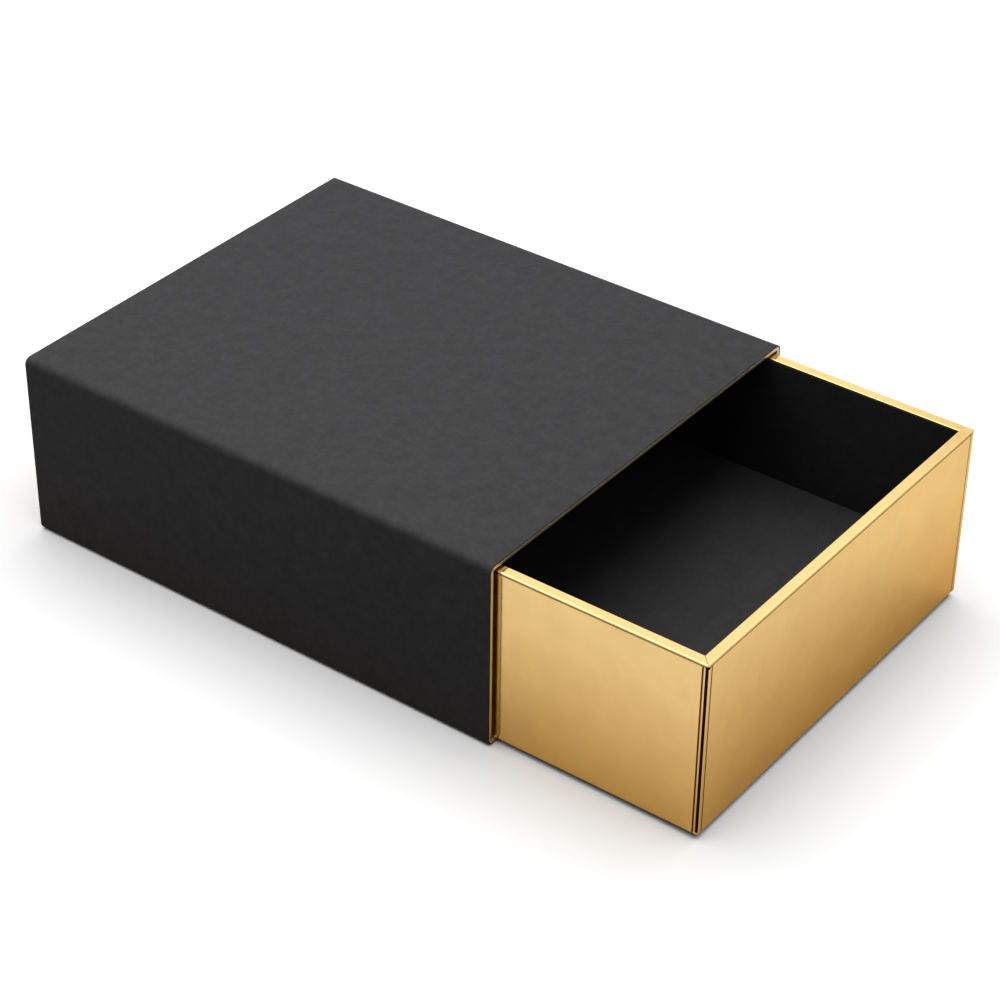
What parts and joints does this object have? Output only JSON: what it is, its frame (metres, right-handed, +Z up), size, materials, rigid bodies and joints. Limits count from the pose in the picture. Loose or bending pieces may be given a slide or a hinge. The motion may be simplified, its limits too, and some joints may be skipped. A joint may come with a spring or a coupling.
{
  "type": "sliding drawer gift box",
  "caption": "Sliding drawer gift box: a matt black open-ended sleeve with a gold foil drawer, black inside, that pushes straight out and lifts free.",
  "frame": {"origin": "centre of the sleeve's underside", "axes": "+Z up; the drawer opens towards -Y; X is the width"},
  "size_m": [0.165, 0.273, 0.07],
  "materials": {
    "black_card": "matte",
    "gold_paper": "satin",
    "gold_foil_card": "satin",
    "black_lining": "matte",
    "black_floor_paper": "matte",
    "kraft_tape": "matte",
    "greyboard": "matte"
  },
  "bodies": {
    "sleeve": {"sleeve_top_board": "greyboard", "sleeve_bottom_board": "greyboard", "sleeve_left_board": "greyboard", "sleeve_right_board": "greyboard", "sleeve_tape_top_left": "kraft_tape", "sleeve_tape_top_right": "kraft_tape", "sleeve_tape_bottom_left": "kraft_tape", "sleeve_tape_bottom_right": "kraft_tape", "sleeve_wrap": "black_card", "sleeve_base_sheet": "black_card", "sleeve_lining": "gold_paper"},
    "drawer": {"drawer_front_board": "greyboard", "drawer_back_board": "greyboard", "drawer_left_board": "greyboard", "drawer_right_board": "greyboard", "drawer_base_board": "greyboard", "drawer_front_wrap": "gold_foil_card", "drawer_back_wrap": "gold_foil_card", "drawer_left_wrap": "gold_foil_card", "drawer_right_wrap": "gold_foil_card", "drawer_base_sheet": "gold_foil_card", "drawer_stay_front_left": "kraft_tape", "drawer_stay_front_right": "kraft_tape", "drawer_stay_back_left": "kraft_tape", "drawer_stay_back_right": "kraft_tape", "drawer_front_lining": "black_lining", "drawer_back_lining": "black_lining", "drawer_left_lining": "black_lining", "drawer_right_lining": "black_lining", "floor_riser_front": "greyboard", "floor_riser_back": "greyboard", "floor_riser_left": "greyboard", "floor_riser_right": "greyboard", "floor_board": "greyboard", "floor_cover": "black_floor_paper"}
  },
  "joints": [
    {"name": "drawer_slide", "type": "slide", "parent": "sleeve", "child": "drawer", "axis": [0, -1, 0], "range_m": [-0.077, 0.12]}
  ]
}
